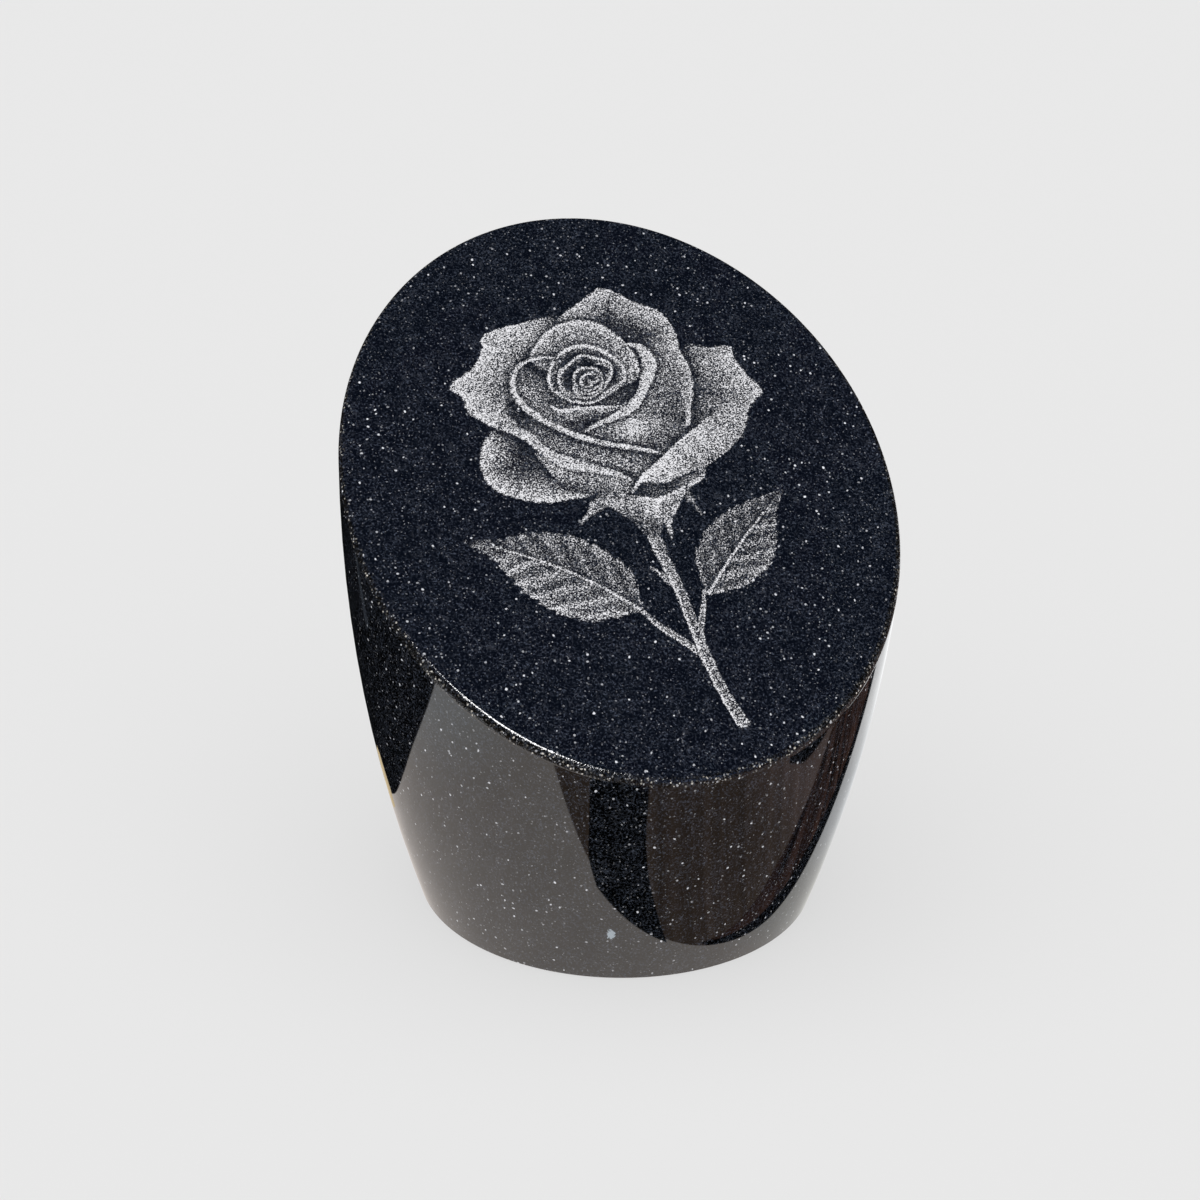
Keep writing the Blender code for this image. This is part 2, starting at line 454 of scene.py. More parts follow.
def drawOuterPetals(sheet):
    petal(sheet, [(36, 58), (43, 62.5), (50, 60), (57.5, 61), (59, 53), (62, 46), (66, 37.5), (59.5, 32),
                  (56, 24), (51, 17), (42, 10), (30, 5), (16, 8), (24, 40)],
          [(57.5, 61), (59, 53), (62, 46), (66, 37.5), (59.5, 32), (56, 24), (51, 17), (42, 10), (30, 5)],
          0.70, 0.20, 24, veins=0.22, seed=2, cast=0.0)
    petal(sheet, [(-12, 76), (-6, 82), (2, 87), (11, 93), (18, 90), (25, 84.5), (33, 80), (37, 71), (37.5, 60),
                  (39, 50), (38, 41), (35, 33), (32, 25), (20, 26), (0, 40), (-15, 60)],
          [(-12, 76), (-1, 85), (11, 93), (25, 84.5), (33, 80), (37, 71), (37.5, 60), (39, 50), (38, 41),
           (32, 25)],
          0.72, 0.12, 14, veins=0.22, seed=3, cast=0.7, castWidth=3)
    petal(sheet, [(-44, 31), (-50, 25), (-53, 17), (-53, 9), (-49, 3), (-41, -1.5), (-31, -4), (-22, -3.5),
                  (-12, -2), (-10, 6), (-20, 20), (-33, 28)],
          [(-50, 25), (-53, 17), (-53, 9), (-49, 3), (-41, -1.5), (-31, -4), (-22, -3.5), (-12, -2)],
          0.84, 0.12, 14, curve=0.8, veins=0.28, seed=4, cast=0.0)
    petal(sheet, [(-10, 77), (-15, 80.5), (-26, 78.5), (-36, 76.5), (-41, 73.5), (-42, 68), (-47, 60),
                  (-58, 52), (-54, 46), (-53.5, 40), (-49, 35), (-44, 31), (-39, 28.5), (-33, 26), (-24, 22),
                  (-12, 40)],
          [(-26, 78.5), (-36, 76.5), (-41, 73.5), (-42, 68), (-47, 60), (-58, 52), (-54, 46), (-53.5, 40),
           (-49, 35), (-44, 31), (-39, 28.5), (-33, 26)],
          0.88, 0.16, 22, curve=0.85, veins=0.18, seed=5, cast=0.65, castWidth=3.5)


def drawCalyx(sheet):
    petal(sheet, [(-10, -3), (-4, 0), (3, 0), (16, 1), (24, 4), (33, 5), (32, 1), (27, -1.5), (22, -6),
                  (8, -8)],
          [(24, 4), (33, 5), (32, 1), (27, -1.5)], 0.5, 0.24, 6, veins=0.25, seed=6, cast=0.0)
    stroke(sheet, [(27, 4), (33, 4.5), (31.5, 0.5), (27, -1.8), (23, -5)], [0.6, 1.0, 1.2, 1.2], 0.8)
    petal(sheet, [(-8, -5), (-14, -5), (-16, -9), (-20, -14.5), (-14.5, -11), (-8, -8)],
          [(-14, -5), (-16, -9), (-20, -14.5)], 0.7, 0.4, 4, veins=0.2, seed=7, cast=0.0)
    petal(sheet, [(21, -5), (24.5, -9.5), (28.2, -17), (26.3, -11), (25.8, -6), (24.5, -2.5)],
          [(24.5, -9.5), (28.2, -17)], 0.75, 0.35, 3, veins=0.2, seed=8, cast=0.0)
    petal(sheet, [(-12.5, -4.5), (-7.5, -2.5), (-1, -3.5), (6, -5), (12, -6.5), (19, -4.5), (24, -2.5),
                  (21.5, -8), (18.5, -12.5), (14.5, -16), (11, -18), (9.5, -22), (3.5, -22), (1, -17.5),
                  (-3, -13), (-8, -8)],
          [(-12.5, -4.5), (-7.5, -2.5), (-1, -3.5), (6, -5), (12, -6.5), (19, -4.5), (24, -2.5)],
          0.84, 0.24, 12, veins=0.26, seed=9, cast=0.35, castWidth=1.5, glow=(11, -12, 3, 5, 0.35))
    petal(sheet, [(11, -12), (12.5, -19), (13.2, -25.5), (14.7, -18.5), (15.8, -15.5), (19.5, -10.5), (15, -8)],
          [(19.5, -10.5), (14.7, -18.5), (13.2, -25.5)], 0.75, 0.5, 3, veins=0.2, seed=10, cast=0.0)


def drawCup(sheet):
    # the front of the cup, the front petal and its turned edge
    petal(sheet, [(-35, 52), (-31, 37), (-24, 31), (-17, 26), (-10, 22), (-2, 19), (9, 16), (22, 12), (16, 1),
                  (2, 1), (-10, 9), (-20, 15), (-30, 24), (-38, 38)],
          [(-35, 50), (-31, 37), (-24, 31), (-17, 26), (-10, 22), (-2, 19), (9, 16), (22, 12)],
          0.20, 0.46, 7, veins=0.2, seed=12, cast=0.0, glow=(-38, 34, 8, 10, -0.25))
    petal(sheet, [(-31, 19), (-25, 13), (-17, 11), (-9, 8), (0, 6), (5, 1), (3, -3), (-5, -4), (-12, -3),
                  (-19, 0), (-26, 7)],
          [(-31, 19), (-25, 13), (-17, 11), (-9, 8), (0, 6)],
          0.72, 0.26, 12, veins=0.25, seed=13, cast=0.55, castWidth=2.5)
    stroke(sheet, [(-40, 31), (-36, 28.5), (-32, 25.5), (-28.5, 20.5), (-24, 15.5), (-18, 12.3), (-9.5, 9),
                   (-1, 5.7), (4.5, 1.8)],
           [3.0, 4.0, 3.4, 4.4, 5.4, 4.6, 3.2, 2.1, 0.9], 0.78, lean=-0.10, veins=0.12, cast=0.55,
           castWidth=1.8)
    # the outer face of the bud's right petal, then the inside of the cup
    petal(sheet, [(26, 58), (30, 50), (33, 40), (32, 28), (25, 15), (19, 12), (9, 16), (-2, 19), (-10, 23),
                  (-11, 27), (-4, 30), (10, 34), (16, 40), (20, 46)],
          [(33, 42), (32, 28), (25, 15), (19, 12), (9, 16), (-2, 19), (-10, 23)],
          0.22, 0.36, 10, veins=0.25, seed=14, cast=0.0, glow=(9, 26, 9, 6, 0.42))
    petal(sheet, [(-34, 49), (-31, 38), (-24, 31), (-17, 26), (-10, 24), (0, 30), (12, 35), (20, 45), (22, 55),
                  (16, 60), (0, 62), (-14, 62), (-24, 62), (-31, 58)],
          [(-34, 49), (-31, 38), (-24, 31), (-17, 26), (-10, 24)],
          0.62, 0.24, 13, veins=0.15, seed=15, cast=0.0)


def drawBud(sheet):
    backRim = [(-24, 62), (-19, 68.5), (-12, 75), (-3, 77.5), (6, 76), (12, 70.5), (16, 64.5), (18, 58),
               (18.5, 50)]
    petal(sheet, backRim + [(8, 45), (-10, 48), (-20, 56)], backRim, 0.72, 0.30, 10, veins=0.12, seed=16,
          cast=0.6, castWidth=3.0)
    stroke(sheet, backRim + [(18, 45)], [0.6, 1.1, 1.3, 1.2, 1.2, 1.2, 1.2, 1.4, 1.2, 0.5], 0.92)
    # petals rolled one inside another: each shows its inner side, pale at the rim and dark in its depth
    rolled = {
        31: ([(-18.3, 53), (-16.7, 56.7), (-13.8, 61), (-9.8, 64), (-5.6, 65.6), (-0.8, 65.9), (3.6, 64.1),
              (6.9, 61.8), (10, 58.7), (12.1, 55.1), (12.3, 51.7), (10.4, 47.3), (4.8, 43.9), (-0.3, 40.4),
              (-4.9, 38.9), (-8.6, 39.5), (-12.1, 41), (-15, 43), (-17.7, 46), (-18.8, 49.5)],
             [1.0, 1.3, 1.5, 1.6, 1.2, 0.8, 0.7, 0.8, 1.0, 1.0], 0.54, 4.0),
        32: ([(-8.7, 58.2), (-5.3, 60.7), (-1.8, 61.5), (1.3, 60.1), (4.4, 58.9), (7, 57), (7.4, 53.8),
              (6.3, 50.5), (3.6, 47.1), (0.5, 43.7), (-3.4, 41.6), (-7.6, 41.8), (-12.5, 43.3),
              (-14.5, 46.3), (-14.9, 49.7), (-14, 52.5), (-12.3, 55.2), (-10.5, 56.7)],
             [0.7, 1.0, 1.1, 0.9, 0.7, 0.6, 0.7, 1.0, 1.1, 0.7], 0.48, 3.0),
        33: ([(-8.5, 50.8), (-7.4, 53.5), (-5.1, 55.3), (-1.2, 55.5), (1.8, 54.1), (2.8, 50.9), (2.2, 47.6),
              (0.2, 44.9), (-3, 43.2), (-6.7, 43.7), (-8.7, 45.5), (-8.9, 48.3)],
             [0.7, 0.9, 0.9, 0.7, 0.6, 0.7, 0.6], 0.42, 2.4),
        34: ([(-6.3, 48.3), (-5.3, 51.1), (-2.7, 52.8), (-0.2, 52.2), (0.9, 49.9), (-0.9, 48.0), (-4.2, 46.5)],
             [0.6, 0.8, 0.6, 0.5, 0.7], 0.40, 2.0)}
    for seed, (ring, widths, pale, fade) in rolled.items():
        petal(sheet, ring, ring, pale, 0.07, fade, curve=0.8, veins=0.2, seed=seed, cast=0.55, castWidth=1.3)
        stroke(sheet, ring + ring[:2], widths, 0.92, cast=0.3, castWidth=0.7, seed=seed)
    for path in ([(-12.6, 56.4), (-14.2, 53), (-14.6, 49), (-13.4, 46), (-10.6, 43.6)],
                 [(-9.9, 47.6), (-9.3, 44.6), (-7.4, 42.7)],
                 [(-3.5, 50.3), (-2.2, 48.8), (-0.3, 48.7), (1.6, 49.4)],
                 [(-7, 46.4), (-4.6, 44.9), (-1.6, 45.6), (1.2, 47)],
                 [(1.6, 57.6), (4.8, 56.6), (6, 54.6)]):
        stroke(sheet, path, [0.4, 0.8, 0.8, 0.4], 0.85, cast=0.5, castWidth=0.7)
    # the small front petal and the crossed edges beside it
    smallRim = [(-20.4, 39.2), (-18.3, 37), (-15, 36.6), (-10.6, 37.1), (-7.3, 36.8), (-3.4, 37),
                (1.3, 36.7), (7, 36.4)]
    petal(sheet, smallRim + [(11, 40), (9, 35), (2, 31.5), (-5, 29.5), (-12, 28), (-18, 33)], smallRim,
          0.62, 0.12, 6.5, veins=0.25, seed=17, cast=0.55, castWidth=1.6)
    stroke(sheet, smallRim, [0.5, 1.5, 1.2, 0.9, 0.9, 0.8, 0.5], 0.92)
    stroke(sheet, [(0.1, 41.6), (5, 44.4), (10.2, 47.6)], [0.5, 0.9, 0.5], 0.9, cast=0.5, castWidth=0.9)
    stroke(sheet, [(0.1, 40.4), (5, 43.2), (10.4, 46.4)], [0.4, 0.8, 0.4], 0.85)
    stroke(sheet, [(0.1, 41.0), (5, 43.8), (10.3, 47.0)], [0.3, 0.5, 0.3], 0.05)


def drawTurnedEdges(sheet):
    # the turned edges of the bud's right petal and of the cup, then the right petal's, in front of all
    stroke(sheet, [(17, 65), (21, 63.5), (23.3, 58), (22.5, 52), (19.3, 46), (16, 40.5), (10.5, 35), (3, 31.5),
                   (-4, 29), (-10.5, 25.8)],
           [1.2, 4.0, 5.6, 5.0, 3.4, 4.2, 3.4, 2.6, 1.6, 0.7], 0.80, lean=0.10, veins=0.12, cast=0.6,
           castWidth=1.8)
    stroke(sheet, [(-14, 61.5), (-21, 62), (-28, 59.5), (-32.5, 54), (-33.5, 47), (-31, 40), (-25, 33),
                   (-17, 27), (-10, 23), (-2, 19.7), (9, 16.5), (21, 12.3)],
           [0.5, 1.0, 1.7, 2.3, 2.5, 2.3, 2.2, 2.2, 2.0, 1.9, 1.4, 0.6], 0.84, veins=0.18, lean=0.12,
           cast=0.65, castWidth=1.8)
    petal(sheet, [(3, -3), (5, 1), (8, 4), (18, 11.5), (27, 18.5), (34, 23), (44, 30), (56, 37), (66, 37.5),
                  (59.5, 32), (56, 24), (51, 17), (42, 10), (35, 5.5), (29, 4), (22, 2), (16, 0), (8, 1)],
          [(4, -1), (18, 11.5), (27, 18.5), (34, 23)],
          0.88, 0.58, 13, veins=0.22, seed=18, cast=0.6, castWidth=2.2, melt=((34, 16), (52, 42)))


def etchRose():
    # tone at every point of the fine window, drawn from the back to the front
    u, v = faceWindow()
    sheet = {"where": np.stack([u.ravel(), v.ravel()], 1) - rose["offset"], "tone": np.zeros(u.size)}
    for draw in (drawStem, drawLeaves, drawOuterPetals, drawCalyx, drawCup, drawBud, drawTurnedEdges):
        draw(sheet)
    return sheet["tone"] ** rose["depth"]


# Polished black granite: near black and faintly blue, with pale needles of felspar, pinprick
# flecks and a mirror polish. The two rounded corners are honed, and carry painted glints.
# The etching is the same stone with its polish broken up: a pale, matt frosting of fine dots.

granite = {
    "dark": "#010101",
    "pale": "#414753",
    "cloudSize": 6.0,            # mm
    "grainSize": 0.8,            # mm, drawn at twice its size, or it would not show
    "raggedness": 0.7,           # mm that the crystals' outlines are pushed about
    "raggedSize": 1.3,           # mm, the size of those pushes
    "needle": "#4a4d55",         # felspar
    "needleSize": 2.3,           # mm between its bends
    "needleShare": 0.30,
    "fleck": "#eceef4",
    "faintCell": 1.50,           # mm of rock to each faint fleck
    "faintRadius": 0.38,         # mm
    "faintPower": 0.28,
    "brightCell": 3.7,           # mm of rock to each bright fleck
    "brightRadius": 0.58,        # mm
    "paintedGlint": "#ebe5da",        # painted glints on the honed corners: pale flecks for light sparkling there, a little yellow
    "paintedGlintCell": 1.15,         # mm
    "paintedGlintRadius": 0.50,       # mm
    "roughness": 0.05,
    "honedRoughness": 0.20,
    "chipSize": 0.75,            # mm, the uneven facets of a honed corner
    "chipDepth": 0.28,           # mm, for the light only
    "ior": 1.85,
    "crystal": "#a3afb8",
    "crystalAt": (-27.3, -82.5, 24.1),   # mm, the one large pale crystal, low on the front
    "crystalSize": 3.0,                  # mm across
    "crystalSquash": 0.50,               # its width as a share of its height
    "etched": "#e6e6ea",
    "etchedRoughness": 0.75,
    "dotSize": 0.52,             # mm, the dots of the etching
    "dotContrast": 5.6,
}


def flecks(tree, place, cell, radius, contrast):
    # flecks within the radius of a cell's own point, each as bright as its cell's random value says
    reach = radius / cell
    cells = addNode(tree, "TexVoronoi", None, {"Vector": place, "Scale": 1 / (cell * mm)})
    mask = addNode(tree, "MapRange", easing, {
        "Value": cells, "From Min": reach * 0.5, "From Max": reach, "To Min": 1.0, "To Max": 0.0})
    chance = addNode(tree, "SeparateColor", None, {"Color": cells.outputs["Color"]})
    power = addNode(tree, "Math", {"operation": "POWER"}, {0: chance, 1: contrast})
    return addNode(tree, "Math", {"operation": "MULTIPLY"}, {0: mask, 1: power})


def needles(tree, place, cloud):
    # thin bent lines where a noise passes its middle, kept to cloudy patches
    wander = addNode(tree, "TexNoise", None, {
        "Vector": place, "Scale": 1 / (granite["needleSize"] * mm), "Detail": 0.0})
    gap = addNode(tree, "Math", {"operation": "SUBTRACT"}, {0: wander, 1: 0.5})
    width = addNode(tree, "Math", {"operation": "ABSOLUTE"}, {0: gap})
    line = addNode(tree, "MapRange", easing, {
        "Value": width, "From Min": 0.005, "From Max": 0.045, "To Min": granite["needleShare"],
        "To Max": 0.0})
    patch = addNode(tree, "MapRange", easing, {
        "Value": cloud, "From Min": 0.40, "From Max": 0.58})
    return addNode(tree, "Math", {"operation": "MULTIPLY"}, {0: line, 1: patch})


def rockColour(tree, place, honed):
    # grains from near black to a dark blue grey, then needles, faint flecks, painted glints on the
    # honed corners, bright flecks and one large crystal
    push = addNode(tree, "TexNoise", None, {
        "Vector": place, "Scale": 1 / (granite["raggedSize"] * mm), "Detail": 0.0})
    ragged = addNode(tree, "VectorMath", {"operation": "MULTIPLY_ADD"}, {
        0: push.outputs["Color"], 1: [granite["raggedness"] * mm] * 3, 2: place})
    cloud = addNode(tree, "TexNoise", None, {
        "Vector": place, "Scale": 1 / (granite["cloudSize"] * mm), "Detail": 2.0})
    grain = addNode(tree, "TexNoise", None, {
        "Vector": ragged, "Scale": 1 / (granite["grainSize"] * mm), "Detail": 1.0})
    mottle = addNode(tree, "Math", {"operation": "MULTIPLY_ADD"}, {0: cloud, 1: 0.15, 2: grain})
    level = addNode(tree, "MapRange", None, {"Value": mottle, "From Min": 0.48, "From Max": 0.85})
    share = addNode(tree, "Math", {"operation": "POWER"}, {0: level, 1: 2.2})
    rock = addNode(tree, "Mix", ofColours, {
        "Factor": share, "A": linear(granite["dark"]), "B": linear(granite["pale"])})
    rock = addNode(tree, "Mix", ofColours, {
        "Factor": needles(tree, ragged, cloud), "A": rock, "B": linear(granite["needle"])})
    # the faint flecks grow stronger on the honed corners: partly the paler ground crystals, partly a painted
    # sparkle of light
    power = addNode(tree, "MapRange", None, {
        "Value": honed, "To Min": granite["faintPower"], "To Max": 0.7})
    faint = addNode(tree, "Math", {"operation": "MULTIPLY"}, {
        0: flecks(tree, ragged, granite["faintCell"], granite["faintRadius"], 2.0), 1: power})
    rock = addNode(tree, "Mix", ofColours, {
        "Factor": faint, "A": rock, "B": linear(granite["fleck"])})
    # painted glints: pale, slightly yellow flecks on the honed corners stand in for light sparkling on them
    paintedGlint = addNode(tree, "Math", {"operation": "MULTIPLY"}, {
        0: flecks(tree, ragged, granite["paintedGlintCell"], granite["paintedGlintRadius"], 4.6), 1: honed})
    rock = addNode(tree, "Mix", ofColours, {
        "Factor": paintedGlint, "A": rock, "B": linear(granite["paintedGlint"])})
    bright = flecks(tree, ragged, granite["brightCell"], granite["brightRadius"], 1.2)
    rock = addNode(tree, "Mix", ofColours, {
        "Factor": bright, "A": rock, "B": linear(granite["fleck"])})
    squash = Vector((1.0, 1.0, granite["crystalSquash"]))
    squashed = addNode(tree, "VectorMath", {"operation": "MULTIPLY"}, {0: place, 1: squash})
    away = addNode(tree, "VectorMath", {"operation": "DISTANCE"}, {
        0: squashed, 1: Vector(granite["crystalAt"]) * squash * mm})
    uneven = addNode(tree, "Math", {"operation": "MULTIPLY_ADD"}, {0: grain, 1: 2.2 * mm, 2: away})
    half = granite["crystalSize"] / 2 * mm
    lump = addNode(tree, "MapRange", easing, {
        "Value": uneven, "From Min": half + 0.8 * mm, "From Max": half + 1.3 * mm, "To Min": 1.0,
        "To Max": 0.0})
    return addNode(tree, "Mix", ofColours, {
        "Factor": lump, "A": rock, "B": linear(granite["crystal"])})


def frosting(tree, place):
    # the drawn tone plus noise, strongest at the mid tones: a pale tone is close dots and a dark one few.
    # The tone is as the eye sees it, and its power of 2.2 is the share of the light.
    tone = addNode(tree, "Attribute", {"attribute_name": "etch"}).outputs["Fac"]
    dots = addNode(tree, "TexNoise", None, {
        "Vector": place, "Scale": 1 / (granite["dotSize"] * mm), "Detail": 0.0, "Distortion": 0.6})
    spread = addNode(tree, "Math", {"operation": "MULTIPLY_ADD"}, {
        0: dots, 1: granite["dotContrast"], 2: -granite["dotContrast"] / 2})
    left = addNode(tree, "Math", {"operation": "SUBTRACT"}, {0: 1.2, 1: tone})
    middle = addNode(tree, "Math", {"operation": "MULTIPLY", "use_clamp": True}, {0: tone, 1: left})
    room = addNode(tree, "Math", {"operation": "SQRT"}, {0: middle})
    grit = addNode(tree, "Math", {"operation": "MULTIPLY"}, {0: spread, 1: room})
    drawn = addNode(tree, "Math", {"operation": "ADD", "use_clamp": True}, {0: tone, 1: grit})
    return addNode(tree, "Math", {"operation": "POWER"}, {0: drawn, 1: 2.2})


def polishedBlackGranite():
    material, tree, output = newMaterial("polishedBlackGranite")
    place = addNode(tree, "TexCoord").outputs["Object"]
    honed = addNode(tree, "Attribute", {"attribute_name": "honed"}).outputs["Fac"]
    rock, frost = rockColour(tree, place, honed), frosting(tree, place)
    colour = addNode(tree, "Mix", ofColours, {
        "Factor": frost, "A": rock, "B": linear(granite["etched"])})
    polish = addNode(tree, "MapRange", None, {
        "Value": honed, "To Min": granite["roughness"], "To Max": granite["honedRoughness"]})
    matt = addNode(tree, "MapRange", easing, {"Value": frost, "From Max": 0.4})
    rough = addNode(tree, "Mix", None, {
        "Factor": matt, "A": polish, "B": granite["etchedRoughness"]})
    chips = addNode(tree, "TexNoise", None, {
        "Vector": place, "Scale": 1 / (granite["chipSize"] * mm), "Detail": 1.0})
    uneven = addNode(tree, "Math", {"operation": "MULTIPLY"}, {0: chips, 1: honed})
    facets = addNode(tree, "Bump", None, {"Height": uneven, "Distance": granite["chipDepth"] * mm})
    surface = addNode(tree, "BsdfPrincipled", None, {
        "Base Color": colour, "Roughness": rough, "IOR": granite["ior"], "Normal": facets})
    tree.links.new(surface.outputs["BSDF"], output.inputs["Surface"])
    return material


tone = etchRose()
print("rose drawn: etched share of the window", round(float((tone > 0.05).mean()), 3))
pillar = buildStone(tone)
pillar.data.materials.append(polishedBlackGranite())
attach(pillar, "root")
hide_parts("memorial_stone")
print("stone built:", len(pillar.data.vertices), "points")


# The floor, the light, and the grounds that the polish mirrors

studio = {
    "floor": "#dddddd",
    "floorGlow": 0.75,                   # share of the floor's light that no shadow takes away
    "floorAcross": 12.0,                 # m
    "backdrop": "#e9e9e9",
    "sunStrength": 2.6,
    "sunSoftness": 110.0,                # degrees across
    "sunFrom": (-0.25, -0.35, 1.0),
    "fill": 0.35,                        # the sky's even light on matt surfaces
    "skyHigh": (0.022, 0.036, 0.080),    # what the polish mirrors overhead
    "skyLow": (0.030, 0.025, 0.020),     # and lower down
    "skyTurn": (0.76, 0.90),             # sines of the climb between which low turns to high
    "skyGlow": (0.17, 0.27, 0.55),       # a patch of bright sky, mirrored by the front of the rim only
    "glowFrom": (0.30, -0.81, 0.50),
    "glowSpread": (0.965, 0.998),        # cosines of its outer and inner bounds
    "rimLampFrom": (0.0605, -0.381, 0.9256),
    "rimLampLongWays": (0.263, -0.138, 0.955),   # its length lies towards this direction
    "rimLampAway": 3.0,                  # m
    "rimLamps": ((0.48, 0.24, 26.0), (0.20, 0.80, 3.0)),    # m wide, m long, glow: a core and its tails
}

# What the side mirrors of the ground: sunlit pale paving, dark beyond a front and a back limit,
# and brown, black and reddish stretches past the front one. Points on the ground, in mm.
grounds = {
    "pale": (0.92, 0.93, 0.93),
    # mm along x, from where to where the pale ground turns to which colour
    "paleTurns": ((-260, -150, (0.81, 0.745, 0.70)), (20, 60, (0.78, 0.77, 0.74)),
                  (70, 130, (0.90, 0.92, 0.94)), (140, 210, (1.30, 1.31, 1.32)),
                  (230, 420, (1.75, 1.77, 1.80))),
    "cloudSize": 25,                     # mm
    "far": 1800,                         # mm to the edges of the cards
    "limitsEnd": (-900, -700),           # y of the front and the back limit at the left edge
    "redGrain": (14.0, 160.0, 1.0),      # streaks to a metre along x, y and z
    "edgeShift": (0.06, -0.09),          # from the black edge's outer line to its inner one, to each mm of x
    "edgeShiftEnd": 110,                 # mm of x, where that shift stops growing
    "black": (0.002, 0.002, 0.002),
    "brown": (0.175, 0.128, 0.100),
    "pinkBrown": (0.30, 0.222, 0.200),
    "redBrown": (0.075, 0.040, 0.030),
    "beige": (0.85, 0.68, 0.42),
    "dimBlue": (0.060, 0.070, 0.085),
    "frontLimit": ((-900, -540), (-500, -345), (-300, -247), (-185, -190), (-115, -154), (-63, -126),
                   (-26, -107), (4, -93), (39, -79), (72, -64), (109, -43), (165, -5), (220, 38), (290, 100),
                   (400, 215), (600, 450), (950, 900)),
    "backLimit": ((-900, -340), (-560, -165), (-380, -68), (-275, -14), (-196, 33), (-156, 51), (-116, 68),
                  (-90, 90), (-60, 125), (0, 200), (130, 370), (400, 700)),
    "blackLeft": ((-50, -114), (-64, -128), (-73, -145), (-87, -172), (-112, -220), (-155, -300), (-230, -440),
                  (-380, -720)),
    "blackRight": ((-2, -94), (-8, -111), (-16, -134), (-21, -160), (-23, -192), (-29, -240), (-40, -320),
                   (-60, -460), (-100, -740)),
    "redLimit": ((15, -90), (35, -88), (58, -88), (78, -88), (109, -86), (143, -82), (180, -78), (225, -68),
                 (300, -48), (430, -10), (680, 70)),
    "beigeStreak": ((128, -87), (160, -87), (200, -81), (235, -70), (235, -64), (200, -74), (160, -81)),
    "wedge": ((144, -134), (156, -112), (175, -98), (195, -85), (226, -83), (230, -108), (206, -138),
              (165, -150)),
    "beigeStrip": ((-98, 68), (-104, 80), (-104, 104), (-104, 116), (-96, 128), (-82, 128), (-79, 112),
                   (-83, 92), (-88, 72)),
    "blueStrip": ((-268, 350), (-246, 330), (-214, 205), (-228, 195)),
}


def flatCard(name, outline, height):
    # one flat face through the outline, facing up
    points = [(x * mm, y * mm, height * mm) for x, y in outline]
    mesh = bpy.data.meshes.new(name)
    mesh.from_pydata(points, [], [list(range(len(points)))])
    card = bpy.data.objects.new(name, mesh)
    bpy.context.scene.collection.objects.link(card)
    return card


def evenly(tree, place, glow):
    # one colour, a little cloudy
    cloudy = addNode(tree, "TexNoise", None, {
        "Vector": place, "Scale": 1 / (grounds["cloudSize"] * mm), "Detail": 4.0})
    share = addNode(tree, "MapRange", None, {"Value": cloudy, "To Min": 0.90, "To Max": 1.10})
    return addNode(tree, "VectorMath", {"operation": "SCALE"}, {"Vector": glow, "Scale": share})


def fromLeftToRight(tree, place, colour, turns):
    # the colour turns to another one over each stretch of x
    x = addNode(tree, "SeparateXYZ", None, {"Vector": place})
    colour = (*colour, 1.0)
    for start, end, following in turns:
        share = addNode(tree, "MapRange", easing, {
            "Value": x, "From Min": start * mm, "From Max": end * mm})
        colour = addNode(tree, "Mix", ofColours, {
            "Factor": share, "A": colour, "B": (*following, 1.0)})
    return colour


def paleGround(tree, place):
    return evenly(tree, place, fromLeftToRight(tree, place, grounds["pale"], grounds["paleTurns"]))


def brownGround(tree, place):
    # soft streaks that run out from the stone, because they follow the bearing alone
    colour = fromLeftToRight(tree, place, grounds["brown"], ((75, 150, grounds["pinkBrown"]),))
    parts = addNode(tree, "SeparateXYZ", None, {"Vector": place})
    bearing = addNode(tree, "Math", {"operation": "ARCTAN2"}, {0: parts.outputs["Y"], 1: parts})
    streaks = addNode(tree, "TexNoise", {"noise_dimensions": "1D"}, {
        "W": bearing, "Scale": 14.0, "Detail": 3.0})
    share = addNode(tree, "MapRange", None, {
        "Value": streaks, "From Min": 0.3, "From Max": 0.7, "To Min": 0.78, "To Max": 1.22})
    streaked = addNode(tree, "VectorMath", {"operation": "SCALE"}, {
        "Vector": colour, "Scale": share})
    return evenly(tree, place, streaked)


def redGround(tree, place):
    # streaks like wood grain along x
    stretched = addNode(tree, "Mapping", None, {"Vector": place, "Scale": grounds["redGrain"]})
    streaks = addNode(tree, "TexNoise", None, {"Vector": stretched, "Scale": 1.0, "Detail": 3.0})
    share = addNode(tree, "MapRange", None, {
        "Value": streaks, "From Min": 0.38, "From Max": 0.66, "To Min": 0.15, "To Max": 1.9})
    return addNode(tree, "VectorMath", {"operation": "SCALE"}, {
        "Vector": grounds["redBrown"], "Scale": share})


def mirroredCard(name, outline, height, paint):
    # a card that shows in reflections and nowhere else. Its paint is a colour, or a function
    # that adds its nodes.
    card = flatCard(name, outline, height)
    for rays in ("visible_camera", "visible_diffuse", "visible_transmission", "visible_shadow"):
        setattr(card, rays, False)
    material, tree, output = newMaterial(name)
    place = addNode(tree, "TexCoord").outputs["Object"]
    colour = paint(tree, place) if callable(paint) else (*paint, 1.0)
    shine = addNode(tree, "Emission", None, {"Color": colour})
    tree.links.new(shine.outputs["Emission"], output.inputs["Surface"])
    card.data.materials.append(material)


def makeFloor():
    half = studio["floorAcross"] / 2 / mm
    floor = flatCard("floor", [(-half, -half), (half, -half), (half, half), (-half, half)], -0.1)
    floor.visible_glossy = False
    # part of its light is its own, so that the stone's shadow on it stays faint
    material, tree, output = newMaterial("paleFloor")
    pale, own = linear(studio["floor"]), studio["floorGlow"]
    matt = addNode(tree, "BsdfDiffuse", None, {"Color": [c * (1 - own) for c in pale]})
    shine = addNode(tree, "Emission", None, {"Color": linear(studio["backdrop"]), "Strength": own})
    both = addNode(tree, "AddShader", None, {0: matt, 1: shine})
    tree.links.new(both.outputs["Shader"], output.inputs["Surface"])
    floor.data.materials.append(material)


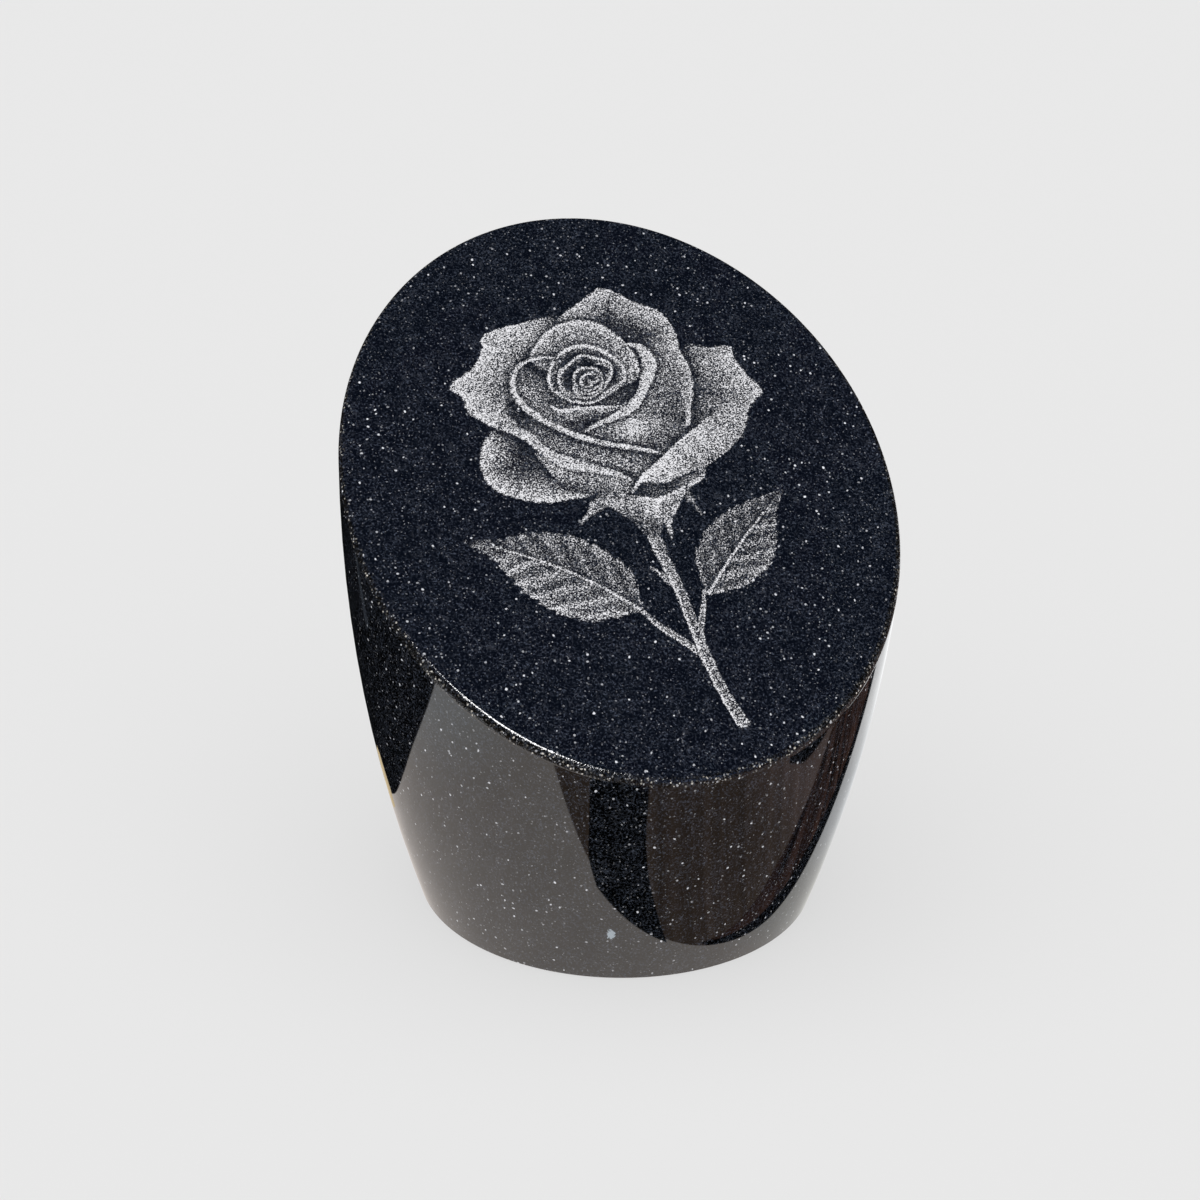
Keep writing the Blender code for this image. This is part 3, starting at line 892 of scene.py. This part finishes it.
def makeGrounds():
    # cards laid a hair apart, the later ones on top
    lines = {name: [tuple(p) for p in spline(grounds[name])]
             for name in ("frontLimit", "backLimit", "blackLeft", "blackRight", "redLimit")}
    front, back = lines["frontLimit"], lines["backLimit"]
    far, (frontEnd, backEnd) = grounds["far"], grounds["limitsEnd"]
    corners = [(far, far), (far, -far), (-far, -far), (-far, far)]
    mirroredCard("paleGround", corners[::-1], 0.1, paleGround)
    mirroredCard("brownGround", front + corners[:3] + [(-far, frontEnd)], 0.2, brownGround)
    mirroredCard("groundBehind", back + [corners[0], corners[3], (-far, backEnd)], 0.2, grounds["black"])
    mirroredCard("blackGround", lines["blackLeft"][::-1] + lines["blackRight"], 0.3, grounds["black"])
    # the reddish strip, and its black outer edge
    edge = [p for p in front if p[0] > grounds["redLimit"][0][0]]
    (shiftX, shiftY), end = grounds["edgeShift"], grounds["edgeShiftEnd"]
    inner = [(x + shiftX * min(x, end), y + shiftY * min(x, end)) for x, y in edge]
    mirroredCard("redGround", lines["redLimit"] + edge[::-1], 0.3, redGround)
    mirroredCard("blackEdge", inner + edge[::-1], 0.4, grounds["black"])
    for name, paint in (("wedge", "black"), ("beigeStreak", "pinkBrown"), ("beigeStrip", "beige"),
                        ("blueStrip", "dimBlue")):
        mirroredCard(name, grounds[name], 0.4, grounds[paint])


def addLamp(name, kind, direction, away=0.0, longWays=(0, 1, 0)):
    # a lamp in that direction from the stone, facing it, its length turned towards longWays
    lamp = bpy.data.objects.new(name, bpy.data.lights.new(name, kind))
    facing = Vector(direction).normalized()
    length = (Vector(longWays) - facing * facing.dot(Vector(longWays))).normalized()
    lamp.location = facing * away + Vector((0, 0, 0.15))
    lamp.rotation_mode = "QUATERNION"
    lamp.rotation_quaternion = Matrix((length.cross(facing), length, facing)).transposed().to_quaternion()
    bpy.context.scene.collection.objects.link(lamp)
    return lamp


def makeLight():
    sun = addLamp("softSun", "SUN", studio["sunFrom"])
    sun.data.energy = studio["sunStrength"]
    sun.data.angle = math.radians(studio["sunSoftness"])
    sun.visible_glossy = False
    # these only draw the bright line along the front of the rim
    for wide, long, glow in studio["rimLamps"]:
        lamp = addLamp("rimLamp", "AREA", studio["rimLampFrom"], studio["rimLampAway"],
                       studio["rimLampLongWays"])
        lamp.data.shape = "RECTANGLE"
        lamp.data.size, lamp.data.size_y = wide, long
        lamp.data.energy = glow * math.pi * wide * long
        lamp.visible_diffuse = False
        lamp.visible_camera = False


def makeSky():
    # matt surfaces get an even light, the polish mirrors a dark blue sky, and the camera sees the backdrop
    world = bpy.data.worlds.new("sky")
    bpy.context.scene.world = world
    world.use_nodes = True
    tree = world.node_tree
    tree.nodes.clear()
    output = addNode(tree, "OutputWorld")
    direction = addNode(tree, "TexCoord").outputs["Generated"]
    parts = addNode(tree, "SeparateXYZ", None, {"Vector": direction})
    climb = addNode(tree, "MapRange", easing, {
        "Value": parts.outputs["Z"], "From Min": studio["skyTurn"][0], "From Max": studio["skyTurn"][1]})
    mirrored = addNode(tree, "Mix", ofColours, {
        "Factor": climb, "A": (*studio["skyLow"], 1.0), "B": (*studio["skyHigh"], 1.0)})
    nearGlow = addNode(tree, "VectorMath", {"operation": "DOT_PRODUCT"}, {
        0: direction, 1: Vector(studio["glowFrom"]).normalized()})
    glow = addNode(tree, "MapRange", easing, {
        "Value": nearGlow, "From Min": studio["glowSpread"][0], "From Max": studio["glowSpread"][1]})
    mirrored = addNode(tree, "Mix", ofColours, {
        "Factor": glow, "A": mirrored, "B": (*studio["skyGlow"], 1.0)})
    rays = addNode(tree, "LightPath")
    lit = addNode(tree, "Mix", ofColours, {
        "Factor": rays.outputs["Is Glossy Ray"], "A": (*[studio["fill"]] * 3, 1.0), "B": mirrored})
    seen = addNode(tree, "Mix", ofColours, {
        "Factor": rays.outputs["Is Camera Ray"], "A": lit, "B": linear(studio["backdrop"])})
    sky = addNode(tree, "Background", None, {"Color": seen})
    tree.links.new(sky.outputs["Background"], output.inputs["Surface"])


makeFloor()
makeGrounds()
makeLight()
makeSky()
bpy.context.scene.view_settings.view_transform = "Standard"
print("floor, grounds and light placed")
